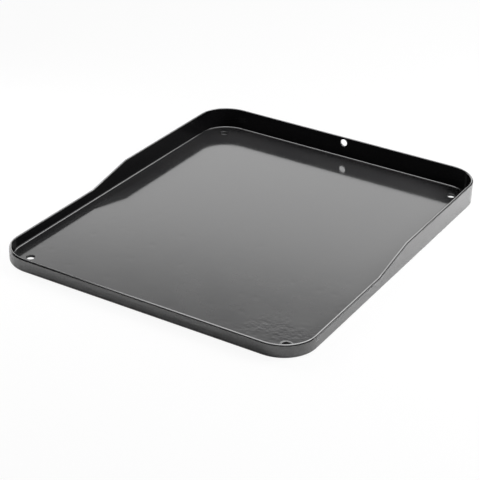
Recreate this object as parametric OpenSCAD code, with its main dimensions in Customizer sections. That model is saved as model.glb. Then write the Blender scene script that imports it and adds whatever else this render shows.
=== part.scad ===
// Camp griddle plate: a welded sheet-steel tray with a high back wall, ramped sides and a low front.
// Millimetres. Origin at the centre of the underside, +Z up, +Y toward the high back wall.

/* [Plate] */
// width across the outside of the side walls
plate_w = 330; // [280:1:380]
// depth from the front wall to the back wall, over the outside
plate_d = 404; // [350:1:460]
// outside radius of the plan corners
corner_r = 35.5; // [30:0.5:45]
// thickness of the sheet that the floor and the strips are cut from
sheet_t = 2.5; // [2:0.1:3]

/* [Rim] */
// height of the back wall and of the rear part of the sides
back_h = 25.4; // [22:0.1:32]
// height of the front wall and of the front part of the sides
front_h = 14; // [11:0.1:16]
// distance of the top of each side ramp behind the plate's centre
ramp_top_y = 14.5; // [0:0.5:30]
// length of each side ramp along the plate
ramp_run = 58.5; // [40:0.5:70]

/* [Holes] */
// distance of each corner hole from the two outer walls next to it
drain_inset = 24.5; // [22:0.5:30]
// diameter of the corner holes
drain_d = 8; // [6:0.1:9]
// width of the chamfer round the top of each corner hole
drain_chamfer = 0.8; // [0.4:0.1:1]
// diameter of the hanging hole
hang_d = 8; // [6:0.1:10]
// metal left between the hanging hole and the top of the back wall
hang_web = 2.6; // [1.2:0.1:4]

/* [Welds] */
// root gap between the edge of the floor and the inside of the strips
root_gap = 0.8; // [0.5:0.1:1]
// radius of the hollow bead along the inside of the floor joint
bead_r = 1.4; // [1.2:0.1:1.8]
// width of the upright weld between the two strips
seam_w = 2; // [1.5:0.1:3]
// distance of the upright weld in front of the foot of the ramp
seam_lead = 12; // [8:0.5:30]

/* [Hidden] */
$fn = 96;
edge_r = sheet_t / 2;
straight_w = plate_w - 2 * corner_r;
straight_d = plate_d - 2 * corner_r;
corner_x = straight_w / 2;
corner_y = straight_d / 2;
ramp_foot_y = ramp_top_y - ramp_run;
seam_back_y = ramp_foot_y - seam_lead;
seam_front_y = seam_back_y - seam_w;
weld_in = sheet_t + root_gap;
hang_z = back_h - hang_web - hang_d / 2;
ramp_angle = atan2(back_h - front_h, ramp_run);
ramp_len = norm([ramp_run, back_h - front_h]);
enamel = [0.07, 0.07, 0.075];

// Cross-section of a strip: across from the outer face, up from the underside, with a full-round top edge.
module strip_section(height) {
    translate([0, sheet_t])
        square([sheet_t, height - edge_r - sheet_t]);
    translate([edge_r, height - edge_r])
        circle(r = edge_r);
}

// Cross-section of the floor weld: a quarter-round outside and a hollow bead inside.
module weld_section() {
    intersection() {
        square([weld_in, sheet_t]);
        union() {
            translate([sheet_t, sheet_t])
                circle(r = sheet_t);
            translate([sheet_t, 0])
                square([root_gap, sheet_t]);
        }
    }
    difference() {
        translate([sheet_t, sheet_t])
            square([bead_r, bead_r]);
        translate([sheet_t + bead_r, sheet_t + bead_r])
            circle(r = bead_r);
    }
}

// Sweeps a section along the back or the front between the corners; the section runs inward.
module along_end() {
    translate([-corner_x, plate_d / 2, 0])
        rotate([90, 0, 90])
            linear_extrude(straight_w)
                mirror([1, 0])
                    children();
}

// Sweeps a section round the rear right corner.
module round_corner() {
    translate([corner_x, corner_y, 0])
        rotate_extrude(angle = 90)
            translate([corner_r, 0])
                mirror([1, 0])
                    children();
}

// Sweeps a section along the right side from y_from forward to y_to.
module along_side(y_from, y_to) {
    translate([plate_w / 2, y_from, 0])
        rotate([90, 0, 0])
            linear_extrude(y_from - y_to)
                mirror([1, 0])
                    children();
}

module both_sides() {
    children();
    mirror([1, 0, 0])
        children();
}

module at_front() {
    mirror([0, 1, 0])
        children();
}

// Right side wall of the rear strip: high part, ramp and low tail, mitred where the top edge bends.
module ramped_side() {
    high_z = back_h - edge_r;
    low_z = front_h - edge_r;
    mitre = tan(ramp_angle / 2);
    cap_z = back_h + sheet_t;
    top_mitre = [[ramp_top_y + (high_z - sheet_t) * mitre, sheet_t],
                 [ramp_top_y - (cap_z - high_z) * mitre, cap_z]];
    foot_mitre = [[ramp_foot_y + (low_z - sheet_t) * mitre, sheet_t],
                  [ramp_foot_y - (cap_z - low_z) * mitre, cap_z]];
    rear_end = [[corner_y, sheet_t], [corner_y, cap_z]];
    front_end = [[seam_back_y, sheet_t], [seam_back_y, cap_z]];
    between(rear_end, top_mitre)
        along_side(corner_y, ramp_foot_y)
            strip_section(back_h);
    between(top_mitre, foot_mitre)
        translate([plate_w / 2, ramp_top_y, high_z])
            rotate([90 + ramp_angle, 0, 0])
                translate([0, 0, -back_h])
                    linear_extrude(ramp_len + 2 * back_h)
                        mirror([1, 0])
                            translate([0, -high_z - back_h])
                                strip_section(back_h + back_h);
    between(foot_mitre, front_end)
        along_side(ramp_top_y, seam_back_y)
            strip_section(front_h);
}

// Keeps what lies between two lines seen from the side.
module between(line_a, line_b) {
    intersection() {
        children();
        translate([plate_w / 2 - 2 * sheet_t, 0, 0])
            rotate([90, 0, 90])
                linear_extrude(3 * sheet_t)
                    polygon([line_a[0], line_a[1], line_b[1], line_b[0]]);
    }
}

// Flat outline of the floor, which stops at the root gap of the weld.
module floor_outline() {
    floor_r = corner_r - weld_in;
    square([straight_w, plate_d - 2 * weld_in], center = true);
    square([plate_w - 2 * weld_in, straight_d], center = true);
    for (side = [-1, 1])
        for (end = [-1, 1])
            translate([side * corner_x, end * corner_y])
                circle(r = floor_r);
}

module floor_plate() {
    color(enamel)
        difference() {
            linear_extrude(sheet_t)
                floor_outline();
            for (side = [-1, 1])
                for (end = [-1, 1])
                    translate([side * (plate_w / 2 - drain_inset), end * (plate_d / 2 - drain_inset), 0]) {
                        translate([0, 0, -1])
                            cylinder(d = drain_d, h = sheet_t + 2);
                        translate([0, 0, sheet_t - drain_chamfer])
                            cylinder(r1 = drain_d / 2, r2 = drain_d / 2 + 2 * drain_chamfer, h = 2 * drain_chamfer);
                    }
        }
}

module rear_rim() {
    color(enamel)
        difference() {
            union() {
                along_end()
                    strip_section(back_h);
                both_sides() {
                    round_corner()
                        strip_section(back_h);
                    ramped_side();
                }
            }
            translate([0, plate_d / 2 + 1, hang_z])
                rotate([90, 0, 0])
                    cylinder(d = hang_d, h = sheet_t + 2);
        }
}

module front_rim() {
    color(enamel)
        union() {
            at_front() {
                along_end()
                    strip_section(front_h);
                both_sides()
                    round_corner()
                        strip_section(front_h);
            }
            both_sides()
                along_side(seam_front_y, -corner_y)
                    strip_section(front_h);
        }
}

module rear_corner_weld() {
    color(enamel)
        union() {
            along_end()
                weld_section();
            both_sides() {
                round_corner()
                    weld_section();
                along_side(corner_y, seam_front_y)
                    weld_section();
            }
        }
}

module front_corner_weld() {
    color(enamel)
        union() {
            at_front() {
                along_end()
                    weld_section();
                both_sides()
                    round_corner()
                        weld_section();
            }
            both_sides()
                along_side(seam_front_y, -corner_y)
                    weld_section();
        }
}

module right_seam_weld() {
    color(enamel)
        along_side(seam_back_y, seam_front_y)
            strip_section(front_h);
}

module left_seam_weld() {
    color(enamel)
        mirror([1, 0, 0])
            along_side(seam_back_y, seam_front_y)
                strip_section(front_h);
}

floor_plate();
rear_rim();
front_rim();
rear_corner_weld();
front_corner_weld();
left_seam_weld();
right_seam_weld();
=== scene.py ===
import math
import bmesh
import bpy
from mathutils import Matrix, Vector


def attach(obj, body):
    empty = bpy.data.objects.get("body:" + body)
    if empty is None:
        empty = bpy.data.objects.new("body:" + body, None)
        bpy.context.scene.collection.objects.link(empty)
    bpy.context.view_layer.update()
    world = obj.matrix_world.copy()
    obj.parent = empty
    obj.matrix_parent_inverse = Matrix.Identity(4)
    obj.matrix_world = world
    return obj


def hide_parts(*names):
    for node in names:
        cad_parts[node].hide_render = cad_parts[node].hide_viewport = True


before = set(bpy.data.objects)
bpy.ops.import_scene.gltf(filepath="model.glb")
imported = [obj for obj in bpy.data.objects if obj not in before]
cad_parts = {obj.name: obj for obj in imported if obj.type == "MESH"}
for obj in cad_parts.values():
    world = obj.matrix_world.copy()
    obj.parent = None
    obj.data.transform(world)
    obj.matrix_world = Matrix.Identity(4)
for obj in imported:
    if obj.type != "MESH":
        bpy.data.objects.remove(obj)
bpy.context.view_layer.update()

# Sizes of the plate in metres, the same as the solids.
MM = 0.001
plate_w = 330 * MM
plate_d = 404 * MM
corner_r = 35.5 * MM
sheet_t = 2.5 * MM
back_h = 25.4 * MM
front_h = 14 * MM
ramp_top_y = 14.5 * MM
ramp_run = 58.5 * MM
drain_inset = 24.5 * MM
drain_r = 4 * MM
hang_r = 4 * MM
hang_web = 2.6 * MM
root_gap = 0.8 * MM
bead_r = 1.4 * MM
seam_w = 2 * MM
seam_lead = 12 * MM

# Small forms that the solids have plainer: rounded edges, and a toe that thickens the foot of the bead.
outer_edge_r = 1.55 * MM
inner_edge_r = sheet_t - outer_edge_r
drain_round = 0.8 * MM
hang_round = 0.4 * MM
bead_toe = 0.1 * MM

# The low ring of gathered glaze round the front right hole: its radius, half its width and its height.
lip_r = 5.15 * MM
lip_half = 1.0 * MM
lip_rise = 0.09 * MM

# Places that follow from the sizes.
corner_x = plate_w / 2 - corner_r
corner_y = plate_d / 2 - corner_r
drain_x = plate_w / 2 - drain_inset
drain_y = plate_d / 2 - drain_inset
ramp_foot_y = ramp_top_y - ramp_run
seam_back_y = ramp_foot_y - seam_lead
seam_front_y = seam_back_y - seam_w
weld_in = sheet_t + root_gap
hang_z = back_h - hang_web - hang_r
climb = back_h - front_h

# How finely the round forms are divided.
CORNER_STEPS = 28
EDGE_STEPS = 8
DRAIN_SIDES = 48
DRAIN_EDGE_STEPS = 5
HANG_SIDES = 64
HANG_EDGE_STEPS = 3
LIP_SIDES = 64
LIP_SECTION_SIDES = 24

# How close counts as the same place, and within what two points are one.
NEAR = 0.02 * MM
SAME_POINT = 0.002 * MM
# The roundings of a section stop a hair short, so that none reaches the next corner or rounding.
STRIP_ROUND_SHARE = 0.998
WELD_ROUND_SHARE = 0.999
ROUND_PROFILE = 0.5
CUTTER_LENGTH = 4 * sheet_t
SMOOTH_BELOW = 35


# Modelling helpers

def deselect_everything():
    for item in bpy.context.selected_objects:
        item.select_set(False)


def choose(piece):
    """Makes a piece the only one selected, and the active one."""
    deselect_everything()
    piece.select_set(True)
    bpy.context.view_layer.objects.active = piece


def start_piece(name):
    """Names the new primitive and opens it in edit mode."""
    piece = bpy.context.object
    piece.name = name
    piece.data.name = name
    bpy.ops.object.mode_set(mode="EDIT")
    return piece


def pick(kind, test):
    """Selects the vertices or the edges of the piece being edited whose middle passes the test."""
    mesh = bmesh.from_edit_mesh(bpy.context.object.data)
    bpy.ops.mesh.select_all(action="DESELECT")
    bpy.ops.mesh.select_mode(type=kind)
    groups = {"VERT": mesh.verts, "EDGE": mesh.edges}
    for item in groups[kind]:
        if kind == "VERT":
            middle = item.co
        else:
            middle = (item.verts[0].co + item.verts[1].co) / 2
        if test(item, middle):
            item.select_set(True)
    mesh.select_flush_mode()
    bmesh.update_edit_mesh(bpy.context.object.data)


def select_faces():
    """Selects every face of the piece being edited."""
    bpy.ops.mesh.select_mode(type="FACE")
    bpy.ops.mesh.select_all(action="SELECT")


def close(a, b):
    return abs(a - b) < NEAR


def round_off(what, radius, steps):
    """Rounds the selected vertices of a section or the selected edges of a piece."""
    bpy.ops.mesh.bevel(offset=radius, segments=steps, affect=what, profile=ROUND_PROFILE)


def push(x=0.0, y=0.0, z=0.0):
    bpy.ops.mesh.extrude_region_move(TRANSFORM_OT_translate={"value": (x, y, z)})


def push_and_lift(y, lift):
    """Pushes the open end along the side, then lifts or lowers its top edge for the ramp."""
    push(y=y)
    mesh = bmesh.from_edit_mesh(bpy.context.object.data)
    top_corners = [v.index for v in mesh.verts if v.select and v.co.z > sheet_t + NEAR]
    end_faces = [f.index for f in mesh.faces if f.select]
    bpy.ops.mesh.select_mode(type="VERT")
    bpy.ops.mesh.select_all(action="DESELECT")
    mesh = bmesh.from_edit_mesh(bpy.context.object.data)
    mesh.verts.ensure_lookup_table()
    for index in top_corners:
        mesh.verts[index].select_set(True)
    bpy.ops.transform.translate(value=(0, 0, lift))
    bpy.ops.mesh.select_all(action="DESELECT")
    bpy.ops.mesh.select_mode(type="FACE")
    mesh = bmesh.from_edit_mesh(bpy.context.object.data)
    mesh.faces.ensure_lookup_table()
    for index in end_faces:
        mesh.faces[index].select_set(True)
    bmesh.update_edit_mesh(bpy.context.object.data)


def turn_corner(side, end):
    """Turns the open end through one plan corner: side -1 is left, end 1 is the rear."""
    bpy.ops.mesh.spin(steps=CORNER_STEPS, angle=math.radians(90 * end), axis=(0, 0, 1),
                      center=(side * corner_x, end * corner_y, 0))


def sweep_round(end, run):
    """Pushes the open end by run along the left side, round the rear or the front, and back on the right."""
    push(y=run)
    turn_corner(-1, end)
    push(x=2 * corner_x)
    turn_corner(1, end)
    push(y=-run)


def close_piece():
    """Merges doubled points, turns the faces outwards and leaves edit mode."""
    bpy.ops.mesh.select_all(action="SELECT")
    bpy.ops.mesh.remove_doubles(threshold=SAME_POINT)
    bpy.ops.mesh.normals_make_consistent(inside=False)
    bpy.ops.object.mode_set(mode="OBJECT")


def finish_piece(piece, node):
    """Settles place and shading, and says what the piece rides on and stands for."""
    choose(piece)
    bpy.ops.object.transform_apply(location=True, rotation=True, scale=True)
    bpy.ops.object.shade_smooth_by_angle(angle=math.radians(SMOOTH_BELOW))
    bpy.ops.object.modifier_add(type="WEIGHTED_NORMAL")
    piece.modifiers[-1].keep_sharp = True
    bpy.ops.object.modifier_apply(modifier=piece.modifiers[-1].name)
    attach(piece, "root")
    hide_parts(node)


def combine_solids(piece, cutter, operation):
    """Takes the cutter out of the piece, or joins it on, and deletes the cutter."""
    choose(piece)
    bpy.ops.object.modifier_add(type="BOOLEAN")
    piece.modifiers[-1].operation = operation
    piece.modifiers[-1].solver = "EXACT"
    piece.modifiers[-1].object = cutter
    bpy.ops.object.modifier_apply(modifier=piece.modifiers[-1].name)
    bpy.data.objects.remove(cutter)


def bore(piece, radius, sides, place, tilt=0.0):
    """Cuts a round hole through the sheet; the tilt turns it from upright about X."""
    deselect_everything()
    bpy.ops.mesh.primitive_cylinder_add(vertices=sides, radius=radius, depth=CUTTER_LENGTH, location=place,
                                        rotation=(tilt, 0, 0))
    combine_solids(piece, bpy.context.object, "DIFFERENCE")


def upright_plane(name, width, height, middle):
    """A plane that faces along the side of the plate, as the start of a section; it stays in edit mode."""
    deselect_everything()
    bpy.ops.mesh.primitive_plane_add(size=1)
    piece = start_piece(name)
    bpy.ops.transform.rotate(value=math.radians(90), orient_axis="X", center_override=(0, 0, 0))
    bpy.ops.transform.resize(value=(width, 1, height), center_override=(0, 0, 0))
    bpy.ops.transform.translate(value=middle)
    return piece


def split_section(x, y):
    """Cuts the section at y by an upright line at x."""
    bpy.ops.mesh.select_all(action="SELECT")
    bpy.ops.mesh.bisect(plane_co=(x, y, 0), plane_no=(1, 0, 0), threshold=SAME_POINT)


def strip_section(name, y):
    """The end of a low strip on the left side at y, with its two top corners rounded, the outer one more."""
    left = -plate_w / 2
    piece = upright_plane(name, sheet_t, front_h - sheet_t,
                          ((sheet_t - plate_w) / 2, y, (front_h + sheet_t) / 2))
    pick("VERT", lambda v, p: p.z > front_h - NEAR and close(p.x, left))
    round_off("VERTICES", outer_edge_r * STRIP_ROUND_SHARE, EDGE_STEPS)
    pick("VERT", lambda v, p: p.z > front_h - NEAR and close(p.x, left + sheet_t))
    round_off("VERTICES", inner_edge_r * STRIP_ROUND_SHARE, EDGE_STEPS)
    select_faces()
    return piece


def weld_section(name, y):
    """The end of a floor weld on the left side at y: a block, round outside, with a hollow bead inside."""
    left = -plate_w / 2
    wall_x = left + sheet_t
    floor_x = left + weld_in
    toe_x = wall_x + bead_toe
    toe_z = sheet_t + bead_toe
    piece = upright_plane(name, weld_in, sheet_t, (left + weld_in / 2, y, sheet_t / 2))
    split_section(wall_x, y)
    pick("EDGE", lambda e, p: close(p.z, sheet_t) and p.x > wall_x + NEAR)
    push(z=bead_toe)
    pick("EDGE", lambda e, p: close(p.x, floor_x) and p.z > sheet_t)
    push(x=bead_r - root_gap)
    split_section(toe_x, y)
    pick("EDGE", lambda e, p: close(p.z, toe_z) and p.x < toe_x)
    push(z=bead_r - bead_toe)
    select_faces()
    bpy.ops.mesh.dissolve_faces(use_verts=False)
    pick("VERT", lambda v, p: close(p.x, floor_x) and close(p.z, toe_z))
    bpy.ops.mesh.dissolve_verts()
    pick("VERT", lambda v, p: close(p.x, toe_x) and close(p.z, toe_z))
    round_off("VERTICES", (bead_r - bead_toe) * WELD_ROUND_SHARE, EDGE_STEPS)
    pick("VERT", lambda v, p: close(p.x, left) and close(p.z, 0))
    round_off("VERTICES", sheet_t * WELD_ROUND_SHARE, EDGE_STEPS)
    select_faces()
    return piece


# The pieces

def add_lip(piece, x, y):
    """A low ring of gathered glaze round one hole: a flattened torus sunk into the cooking face."""
    deselect_everything()
    bpy.ops.mesh.primitive_torus_add(major_radius=lip_r, minor_radius=lip_half, major_segments=LIP_SIDES,
                                     minor_segments=LIP_SECTION_SIDES)
    ring = start_piece("lip")
    bpy.ops.mesh.select_all(action="SELECT")
    bpy.ops.transform.resize(value=(1, 1, 2 * lip_rise / lip_half), center_override=(0, 0, 0))
    bpy.ops.transform.translate(value=(x, y, sheet_t - lip_rise))
    bpy.ops.object.mode_set(mode="OBJECT")
    combine_solids(piece, ring, "UNION")


def make_floor_plate():
    deselect_everything()
    bpy.ops.mesh.primitive_plane_add(size=1)
    piece = start_piece("cooking_floor")
    bpy.ops.transform.resize(value=(plate_w - 2 * weld_in, plate_d - 2 * weld_in, 1))
    round_off("VERTICES", corner_r - weld_in, CORNER_STEPS)
    select_faces()
    push(z=sheet_t)
    close_piece()
    holes = [(side * drain_x, end * drain_y) for side in (-1, 1) for end in (-1, 1)]
    for x, y in holes:
        bore(piece, drain_r, DRAIN_SIDES, (x, y, 0))
    bpy.ops.object.mode_set(mode="EDIT")

    def on_a_hole_edge(e, p):
        flat = close(e.verts[0].co.z, e.verts[1].co.z)
        on_face = p.z > sheet_t - NEAR
        gap = min(math.hypot(p.x - x, p.y - y) for x, y in holes)
        return flat and on_face and gap < drain_r + NEAR

    pick("EDGE", on_a_hole_edge)
    round_off("EDGES", drain_round, DRAIN_EDGE_STEPS)
    close_piece()
    add_lip(piece, drain_x, -drain_y)
    finish_piece(piece, "floor_plate")
    return piece


def make_rear_rim():
    piece = strip_section("rear_wall_strip", seam_back_y)
    push(y=seam_lead)
    push_and_lift(ramp_run, climb)
    sweep_round(1, corner_y - ramp_top_y)
    push_and_lift(-ramp_run, -climb)
    push(y=-seam_lead)
    close_piece()
    bore(piece, hang_r, HANG_SIDES, (0, plate_d / 2, hang_z), math.radians(90))
    bpy.ops.object.mode_set(mode="EDIT")

    def on_the_hole_edge(e, p):
        flat = close(e.verts[0].co.y, e.verts[1].co.y)
        return flat and math.hypot(p.x, p.z - hang_z) < hang_r + NEAR

    pick("EDGE", on_the_hole_edge)
    round_off("EDGES", hang_round, HANG_EDGE_STEPS)
    close_piece()
    finish_piece(piece, "rear_rim")
    return piece


def make_front_rim():
    piece = strip_section("front_wall_strip", seam_front_y)
    sweep_round(-1, -corner_y - seam_front_y)
    close_piece()
    finish_piece(piece, "front_rim")
    return piece


def make_seam_weld(name, node, on_right):
    """The upright weld on one side; the right one is the left one turned half round."""
    piece = strip_section(name, seam_front_y)
    push(y=seam_w)
    close_piece()
    if on_right:
        bpy.ops.object.mode_set(mode="EDIT")
        bpy.ops.mesh.select_all(action="SELECT")
        bpy.ops.transform.rotate(value=math.radians(180), orient_axis="Z",
                                 center_override=(0, seam_front_y + seam_w / 2, 0))
        bpy.ops.object.mode_set(mode="OBJECT")
    finish_piece(piece, node)
    return piece


def make_floor_weld(name, node, end):
    """The weld between the floor and one strip, from seam to seam; end 1 is the rear, -1 the front."""
    piece = weld_section(name, seam_front_y)
    sweep_round(end, end * corner_y - seam_front_y)
    close_piece()
    finish_piece(piece, node)
    return piece


floor_piece = make_floor_plate()
wall_pieces = [make_rear_rim(), make_front_rim(), make_seam_weld("left_seam_bead", "left_seam_weld", False),
               make_seam_weld("right_seam_bead", "right_seam_weld", True)]
weld_pieces = [make_floor_weld("rear_floor_weld", "rear_corner_weld", 1),
               make_floor_weld("front_floor_weld", "front_corner_weld", -1)]


# Shader helpers

def add_node(tree, kind, **settings):
    node = tree.nodes.new(kind)
    for name, value in settings.items():
        setattr(node, name, value)
    return node


def remap(tree, source, low, high, from_low=0.0, from_high=1.0, smooth=False):
    """A value between from_low and from_high turned into one between low and high."""
    node = add_node(tree, "ShaderNodeMapRange")
    if smooth:
        node.interpolation_type = "SMOOTHSTEP"
    node.inputs["From Min"].default_value = from_low
    node.inputs["From Max"].default_value = from_high
    node.inputs["To Min"].default_value = low
    node.inputs["To Max"].default_value = high
    tree.links.new(source, node.inputs["Value"])
    return node.outputs["Result"]


def combine(tree, operation, first, second):
    """A math node; either input may be a socket or a number."""
    node = add_node(tree, "ShaderNodeMath", operation=operation)
    for index, value in enumerate((first, second)):
        if isinstance(value, (int, float)):
            node.inputs[index].default_value = value
        else:
            tree.links.new(value, node.inputs[index])
    return node.outputs[0]


def weigh(tree, values, shares):
    """Two values added, each times its share."""
    first = combine(tree, "MULTIPLY", values[0], shares[0])
    second = combine(tree, "MULTIPLY", values[1], shares[1])
    return combine(tree, "ADD", first, second)


def noise(tree, vector, scale, detail):
    node = add_node(tree, "ShaderNodeTexNoise")
    node.inputs["Scale"].default_value = scale
    node.inputs["Detail"].default_value = detail
    tree.links.new(vector, node.inputs["Vector"])
    return node.outputs["Fac"]


def relate(tree, operation, where, other):
    """The distance or the dot product of a vector and a fixed one."""
    node = add_node(tree, "ShaderNodeVectorMath", operation=operation)
    node.inputs[1].default_value = other
    tree.links.new(where, node.inputs[0])
    return node.outputs["Value"]


def mix_colours(tree, mask, first, second):
    """The first colour where the mask is 0 and the second where it is 1."""
    node = add_node(tree, "ShaderNodeMix", data_type="RGBA")
    colours = [socket for socket in node.inputs if socket.type == "RGBA"]
    colours[0].default_value = (*first, 1)
    colours[1].default_value = (*second, 1)
    tree.links.new(mask, node.inputs["Factor"])
    return [socket for socket in node.outputs if socket.type == "RGBA"][0]


# Enamel

# Scales of the noise, in cells to the metre, and how many finer layers each has.
CLOUD_NOISE = (28, 3)
GRAIN_NOISE = (620, 2)
COARSE_PEEL_NOISE = (130, 1)
FINE_PEEL_NOISE = (330, 1)
RIPPLE_NOISE = (175, 2)
# The middle range of the noise that is spread over 0 to 1.
NOISE_LOW = 0.35
NOISE_HIGH = 0.65

# Shares of coarse and fine peel, and of clouds and grain.
PEEL_SHARES = (0.7, 0.3)
COOKING_GLOSS_SHARES = (0.6, 0.4)
OUTSIDE_TINT_SHARES = (0.3, 0.7)

COOKING_IOR = 1.5
INSIDE_IOR = 1.5
EDGE_IOR = 2.2
OUTSIDE_IOR = 1.9

# Base colours at the darkest and the lightest place of each coat.
COOKING_DARK = (0.0285, 0.0285, 0.0295)
COOKING_LIGHT = (0.034, 0.034, 0.0345)
INSIDE_DARK = (0.002, 0.002, 0.0024)
INSIDE_LIGHT = (0.005, 0.005, 0.0055)
OUTSIDE_DARK = (0.068, 0.068, 0.068)
OUTSIDE_LIGHT = (0.088, 0.088, 0.088)

# Roughness at the glossiest and the dullest place of each coat.
COOKING_ROUGHNESS = (0.085, 0.115)
INSIDE_ROUGHNESS = (0.10, 0.16)
OUTSIDE_ROUGHNESS = (0.21, 0.25)

# Height of the bump where its value is 1.
COOKING_BUMP = 0.14 * MM
WALL_BUMP = 0.03 * MM

# Ripples where the glaze ran, by the front right hole: full within RUN_FULL and gone at RUN_REACH.
RUN_CORNER = Vector((128 * MM, -178 * MM, sheet_t))
RUN_FULL = 15 * MM
RUN_REACH = 55 * MM
RIPPLE_HEIGHT = 1.05
COOKING_PEEL = 0.1

# Pits in the glaze: the share of cells that has one falls from PIT_SHARE at the front to none at PIT_END_Y.
PIT_SPACING = 15 * MM
PIT_REACH = 6 * MM
PIT_DEPTH = 0.12
PIT_SHARE = 0.35
PIT_END_Y = 50 * MM


def make_enamel_texture():
    """Shared values of the fired coat: broad clouds, fine grain and the orange peel of the glaze."""
    group = bpy.data.node_groups.new("enamel_texture", "ShaderNodeTree")
    for name in ("Clouds", "Grain", "Peel"):
        group.interface.new_socket(name, in_out="OUTPUT", socket_type="NodeSocketFloat")
    where = add_node(group, "ShaderNodeTexCoord").outputs["Object"]
    ends = add_node(group, "NodeGroupOutput")
    clouds = remap(group, noise(group, where, *CLOUD_NOISE), 0, 1, NOISE_LOW, NOISE_HIGH)
    grain = remap(group, noise(group, where, *GRAIN_NOISE), 0, 1, NOISE_LOW, NOISE_HIGH)
    coarse = noise(group, where, *COARSE_PEEL_NOISE)
    fine = noise(group, where, *FINE_PEEL_NOISE)
    group.links.new(clouds, ends.inputs["Clouds"])
    group.links.new(grain, ends.inputs["Grain"])
    group.links.new(weigh(group, (coarse, fine), PEEL_SHARES), ends.inputs["Peel"])
    return group


enamel_texture = make_enamel_texture()


def start_enamel(name, ior):
    material = bpy.data.materials.new(name)
    material.use_nodes = True
    tree = material.node_tree
    shader = tree.nodes["Principled BSDF"]
    shader.inputs["IOR"].default_value = ior
    texture = add_node(tree, "ShaderNodeGroup", node_tree=enamel_texture)
    return material, tree, shader, texture.outputs


def tint(tree, shader, mask, dark, light):
    """Base colour between two greys by a mask."""
    tree.links.new(mix_colours(tree, mask, dark, light), shader.inputs["Base Color"])


def roughen(tree, shader, mask, roughness):
    """Roughness between two values by a mask."""
    tree.links.new(remap(tree, mask, *roughness), shader.inputs["Roughness"])


def raise_surface(tree, shader, height, full_height):
    bump = add_node(tree, "ShaderNodeBump")
    bump.inputs["Distance"].default_value = full_height
    tree.links.new(height, bump.inputs["Height"])
    tree.links.new(bump.outputs["Normal"], shader.inputs["Normal"])


def pits(tree, where):
    """Shallow pits in the glaze, at most one in each cell of a scatter, more of them toward the front."""
    cells = add_node(tree, "ShaderNodeTexVoronoi", voronoi_dimensions="2D")
    cells.inputs["Scale"].default_value = 1 / PIT_SPACING
    tree.links.new(where, cells.inputs["Vector"])
    chance = add_node(tree, "ShaderNodeSeparateColor")
    tree.links.new(cells.outputs["Color"], chance.inputs["Color"])
    along = add_node(tree, "ShaderNodeSeparateXYZ")
    tree.links.new(where, along.inputs["Vector"])
    share = remap(tree, along.outputs["Y"], PIT_SHARE, 0, -corner_y, PIT_END_Y)
    kept = combine(tree, "LESS_THAN", chance.outputs["Red"], share)
    hollow = remap(tree, cells.outputs["Distance"], PIT_DEPTH, 0, 0, PIT_REACH / PIT_SPACING, smooth=True)
    return combine(tree, "MULTIPLY", combine(tree, "MULTIPLY", hollow, kept), chance.outputs["Green"])


def make_cooking_enamel():
    material, tree, shader, texture = start_enamel("cooking_face_enamel", COOKING_IOR)
    tint(tree, shader, texture["Clouds"], COOKING_DARK, COOKING_LIGHT)
    gloss = weigh(tree, (texture["Clouds"], texture["Grain"]), COOKING_GLOSS_SHARES)
    roughen(tree, shader, gloss, COOKING_ROUGHNESS)
    where = add_node(tree, "ShaderNodeTexCoord").outputs["Object"]
    from_corner = relate(tree, "DISTANCE", where, RUN_CORNER)
    run = remap(tree, from_corner, 1, 0, RUN_FULL, RUN_REACH, smooth=True)
    swell = combine(tree, "MULTIPLY", run, RIPPLE_HEIGHT)
    ripples = combine(tree, "MULTIPLY", noise(tree, where, *RIPPLE_NOISE), swell)
    peel = combine(tree, "MULTIPLY", texture["Peel"], COOKING_PEEL)
    rise = combine(tree, "SUBTRACT", combine(tree, "ADD", ripples, peel), pits(tree, where))
    raise_surface(tree, shader, rise, COOKING_BUMP)
    return material


def make_inside_enamel(name, ior):
    material, tree, shader, texture = start_enamel(name, ior)
    tint(tree, shader, texture["Grain"], INSIDE_DARK, INSIDE_LIGHT)
    roughen(tree, shader, texture["Clouds"], INSIDE_ROUGHNESS)
    raise_surface(tree, shader, texture["Peel"], WALL_BUMP)
    return material


def make_outside_enamel():
    material, tree, shader, texture = start_enamel("outside_wall_enamel", OUTSIDE_IOR)
    mottle = weigh(tree, (texture["Clouds"], texture["Grain"]), OUTSIDE_TINT_SHARES)
    tint(tree, shader, mottle, OUTSIDE_DARK, OUTSIDE_LIGHT)
    roughen(tree, shader, texture["Clouds"], OUTSIDE_ROUGHNESS)
    raise_surface(tree, shader, texture["Peel"], WALL_BUMP)
    return material


cooking_enamel = make_cooking_enamel()
inside_enamel = make_inside_enamel("inside_wall_enamel", INSIDE_IOR)
edge_enamel = make_inside_enamel("bright_edge_enamel", EDGE_IOR)
outside_enamel = make_outside_enamel()

# Places of the outside and the edge enamel among a piece's materials; the first is the inner one.
OUTSIDE_SLOT = 1
EDGE_SLOT = 2
# Limits of a face's normal: toward the outside, below, on top, and level.
FACES_OUT = 0.97
FACES_DOWN = -0.5
FACES_UP = 0.3
LIES_LEVEL = 0.9999


def outward_at(place):
    """The level direction away from the plate's middle, square to the outline at that place."""
    x = max(-corner_x, min(corner_x, place.x))
    y = max(-corner_y, min(corner_y, place.y))
    gap = Vector((place.x - x, place.y - y, 0))
    return gap.normalized()


def coat(piece, inner):
    """Gives a piece its three materials."""
    for enamel in (inner, outside_enamel, edge_enamel):
        piece.data.materials.append(enamel)


def paint_rim(piece, inner):
    """Outside enamel on the outer faces and below, edge enamel on top, the inner one on the rest."""
    coat(piece, inner)
    for face in piece.data.polygons:
        outside = face.normal.dot(outward_at(face.center)) > FACES_OUT
        if outside or face.normal.z < FACES_DOWN:
            face.material_index = OUTSIDE_SLOT
        elif face.normal.z > FACES_UP:
            face.material_index = EDGE_SLOT


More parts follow.
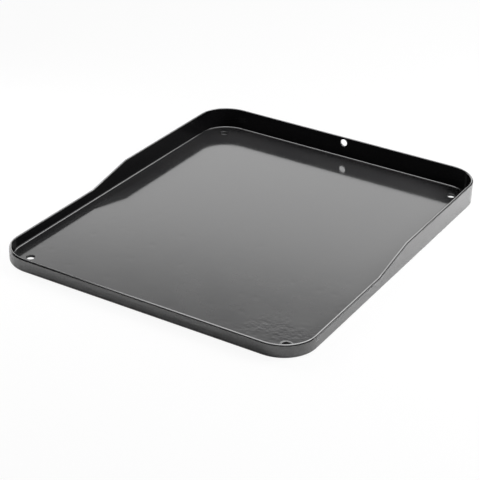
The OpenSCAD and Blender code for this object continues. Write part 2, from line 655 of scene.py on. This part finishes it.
def paint_floor(piece):
    """Outside enamel below, edge enamel on the ring of gathered glaze, cooking enamel on the rest."""
    coat(piece, cooking_enamel)
    lip_middle = Vector((drain_x, -drain_y, sheet_t))
    for face in piece.data.polygons:
        on_lip = (face.center - lip_middle).length < lip_r + lip_half
        if face.normal.z < FACES_DOWN:
            face.material_index = OUTSIDE_SLOT
        elif on_lip and FACES_UP < face.normal.z < LIES_LEVEL:
            face.material_index = EDGE_SLOT


paint_floor(floor_piece)
for piece in wall_pieces:
    paint_rim(piece, inside_enamel)
for piece in weld_pieces:
    paint_rim(piece, edge_enamel)


# Table

TABLE_SIZE = 12
# A hair above the underside of the plate, so that the two do not share one plane.
TABLE_LIFT = 0.05 * MM
PAPER_WHITE = (0.9, 0.9, 0.9)
# Painted shade: the dark grey of the paper where the plate shades the table, painted in spots under two
# holes.
PAINTED_SHADE_GREY = (0.1, 0.1, 0.1)
# How much of the white background shows straight on, in a mirror, and on the spots of painted shade under two
# holes.
WHITE_TO_CAMERA = 0.93
WHITE_TO_GLOSS = 0.1
SHADED_WHITE = 0.04
SHADE_SPOT_R = 3 * drain_r


def make_table():
    """White paper that keeps a soft shadow, with a spot of painted shade, the shade under the plate, beneath
    the front right and the back left hole.
    """
    deselect_everything()
    bpy.ops.mesh.primitive_plane_add(size=TABLE_SIZE, location=(0, 0, TABLE_LIFT))
    table = bpy.context.object
    table.name = "table"
    material = bpy.data.materials.new("white_table")
    material.use_nodes = True
    tree = material.node_tree
    tree.nodes.clear()
    out = add_node(tree, "ShaderNodeOutputMaterial")
    matt = add_node(tree, "ShaderNodeBsdfDiffuse")
    glow = add_node(tree, "ShaderNodeEmission")
    mix = add_node(tree, "ShaderNodeMixShader")
    rays = add_node(tree, "ShaderNodeLightPath").outputs
    where = add_node(tree, "ShaderNodeTexCoord").outputs["Object"]
    shade = 0
    # Painted shade: dark discs with little of the white glow under the front right and the back left hole,
    # standing for the shade under the plate.
    for side in (-1, 1):
        gap = relate(tree, "DISTANCE", where, (side * drain_x, -side * drain_y, 0))
        shade = combine(tree, "MAXIMUM", combine(tree, "LESS_THAN", gap, SHADE_SPOT_R), shade)
    tree.links.new(mix_colours(tree, shade, PAPER_WHITE, PAINTED_SHADE_GREY), matt.inputs["Color"])
    straight = combine(tree, "MAXIMUM", rays["Is Camera Ray"], rays["Is Transmission Ray"])
    share = combine(tree, "MAXIMUM", combine(tree, "MULTIPLY", straight, WHITE_TO_CAMERA),
                    combine(tree, "MULTIPLY", rays["Is Glossy Ray"], WHITE_TO_GLOSS))
    open_table = remap(tree, shade, 1, SHADED_WHITE)
    tree.links.new(combine(tree, "MULTIPLY", share, open_table), mix.inputs["Fac"])
    tree.links.new(matt.outputs[0], mix.inputs[1])
    tree.links.new(glow.outputs[0], mix.inputs[2])
    tree.links.new(mix.outputs[0], out.inputs["Surface"])
    table.data.materials.append(material)


make_table()


# Studio

# The bright panel: the axis and angle of its tilt, its middle and the cosines between which its sides fade.
PANEL_AXIS = Vector((-0.5, 0.866, 0))
PANEL_TILT = 7
PANEL_MIDDLE = Vector((-0.766, 0.643, 0))
PANEL_FADE = (0.66, 0.75)
# Its level at each height in degrees above the table; the ramp of the levels is in shares of PANEL_FULL.
PANEL_DEGREES = (0, 20, 24.5, 26.5, 27.7, 29, 30.5, 33, 40, 60)
PANEL_LEVELS = (1.8, 2.31, 2.42, 2.28, 2.19, 1.645, 1.07, 0.57, 0.175, 0.0)
PANEL_FULL = 2.5
# A soft glow low behind the plate on the right, and the level of the rest of the room.
GLOW_MIDDLE = Vector((0.635, 0.757, 0.156))
GLOW_FADE = (0.945, 0.985)
GLOW_LEVEL = 1.0
ROOM_LEVEL = 0.04


def make_panel_ramp(tree):
    """A colour ramp that holds the panel's levels from the table up."""
    ramp = add_node(tree, "ShaderNodeValToRGB")
    stops = ramp.color_ramp.elements
    while len(stops) < len(PANEL_LEVELS):
        stops.new(0.5)
    for stop, degrees in zip(stops, PANEL_DEGREES):
        stop.position = degrees / PANEL_DEGREES[-1]
    for stop, level in zip(stops, PANEL_LEVELS):
        stop.color = (level / PANEL_FULL, level / PANEL_FULL, level / PANEL_FULL, 1)
    return ramp


def make_studio():
    """A dark room with a bright panel behind the plate on the left; to the camera it is all white."""
    world = bpy.data.worlds.new("studio")
    bpy.context.scene.world = world
    world.use_nodes = True
    tree = world.node_tree
    tree.nodes.clear()
    out = add_node(tree, "ShaderNodeOutputWorld")
    sky = add_node(tree, "ShaderNodeBackground")
    sky.inputs["Color"].default_value = (1, 1, 1, 1)
    where = add_node(tree, "ShaderNodeTexCoord").outputs["Generated"]
    tilt = add_node(tree, "ShaderNodeVectorRotate", rotation_type="AXIS_ANGLE")
    tilt.inputs["Axis"].default_value = PANEL_AXIS
    tilt.inputs["Angle"].default_value = math.radians(PANEL_TILT)
    tree.links.new(where, tilt.inputs["Vector"])
    split = add_node(tree, "ShaderNodeSeparateXYZ")
    tree.links.new(tilt.outputs["Vector"], split.inputs[0])
    rise = combine(tree, "ARCSINE", split.outputs["Z"], 0)
    ramp = make_panel_ramp(tree)
    tree.links.new(remap(tree, rise, 0, 1, 0, math.radians(PANEL_DEGREES[-1])), ramp.inputs["Fac"])
    facing = relate(tree, "DOT_PRODUCT", where, PANEL_MIDDLE)
    behind = remap(tree, facing, 0, PANEL_FULL, *PANEL_FADE, smooth=True)
    toward = relate(tree, "DOT_PRODUCT", where, GLOW_MIDDLE)
    glow = remap(tree, toward, ROOM_LEVEL, GLOW_LEVEL, *GLOW_FADE, smooth=True)
    light = combine(tree, "ADD", combine(tree, "MULTIPLY", ramp.outputs["Color"], behind), glow)
    seen = add_node(tree, "ShaderNodeLightPath").outputs["Is Camera Ray"]
    tree.links.new(combine(tree, "MAXIMUM", light, seen), sky.inputs["Strength"])
    tree.links.new(sky.outputs[0], out.inputs["Surface"])


make_studio()


def soft_box(name, place, aim, width, depth, radiance, mirrored=True, lights=True):
    """A rectangular lamp that faces aim; the radiance is what a mirror shows of it."""
    deselect_everything()
    bpy.ops.object.light_add(type="AREA", location=place)
    lamp = bpy.context.object
    lamp.name = name
    lamp.data.shape = "RECTANGLE"
    lamp.data.size = width
    lamp.data.size_y = depth
    lamp.data.energy = radiance * math.pi * width * depth
    lamp.rotation_euler = (Vector(aim) - Vector(place)).to_track_quat("-Z", "Y").to_euler()
    lamp.visible_camera = False
    lamp.visible_glossy = mirrored
    lamp.visible_diffuse = lights


soft_box("back_box", place=(0.05, 1.12, 1.28), aim=(0.05, 0.35, 0), width=0.9, depth=0.68, radiance=3.4)
# These two light the plate without being mirrored in it.
soft_box("key_box", place=(0.62, 0.38, 0.5), aim=(0.1, 0, 0), width=0.4, depth=0.4,
         radiance=18, mirrored=False)
soft_box("left_fill", place=(-0.42, -0.06, 0.26), aim=(-0.08, -0.15, 0), width=0.25, depth=0.25,
         radiance=8.5, mirrored=False)
# These two are only mirrored: one overhead, and one that carries the back box further down.
soft_box("edge_strip", place=(-0.025, 0.13, 1.62), aim=(-0.025, 0.13, 0), width=2.05, depth=2.06,
         radiance=2.9, lights=False)
soft_box("low_strip", place=(0.05, 1.514, 1.043), aim=(0.05, 0.744, -0.237), width=0.9, depth=0.24,
         radiance=1.6, lights=False)


# Camera

CAMERA_AZIMUTH = 29.964
CAMERA_ELEVATION = 28.03
CAMERA_ROLL = 2.09
CAMERA_DISTANCE = 1.4759
CAMERA_TARGET = Vector((0.0051, -0.03023, 0))
FOCAL_PIXELS = 1490.3
IMAGE_PIXELS = 480
SENSOR_MM = 36
CLIP_NEAR = 0.01
CLIP_FAR = 50

azimuth = math.radians(CAMERA_AZIMUTH)
elevation = math.radians(CAMERA_ELEVATION)
roll = math.radians(CAMERA_ROLL)
backward = Vector((math.sin(azimuth) * math.cos(elevation), -math.cos(azimuth) * math.cos(elevation),
                   math.sin(elevation)))
level_right = Vector((math.cos(azimuth), math.sin(azimuth), 0))
level_up = backward.cross(level_right)
right = math.cos(roll) * level_right + math.sin(roll) * level_up
up = -math.sin(roll) * level_right + math.cos(roll) * level_up
deselect_everything()
bpy.ops.object.camera_add(location=CAMERA_TARGET + backward * CAMERA_DISTANCE)
camera = bpy.context.object
camera.name = "photo_camera"
camera.rotation_euler = Matrix((right, up, backward)).transposed().to_euler()
camera.data.sensor_width = SENSOR_MM
camera.data.lens = FOCAL_PIXELS / IMAGE_PIXELS * SENSOR_MM
camera.data.clip_start = CLIP_NEAR
camera.data.clip_end = CLIP_FAR
bpy.context.scene.camera = camera
bpy.context.scene.view_settings.view_transform = "Standard"
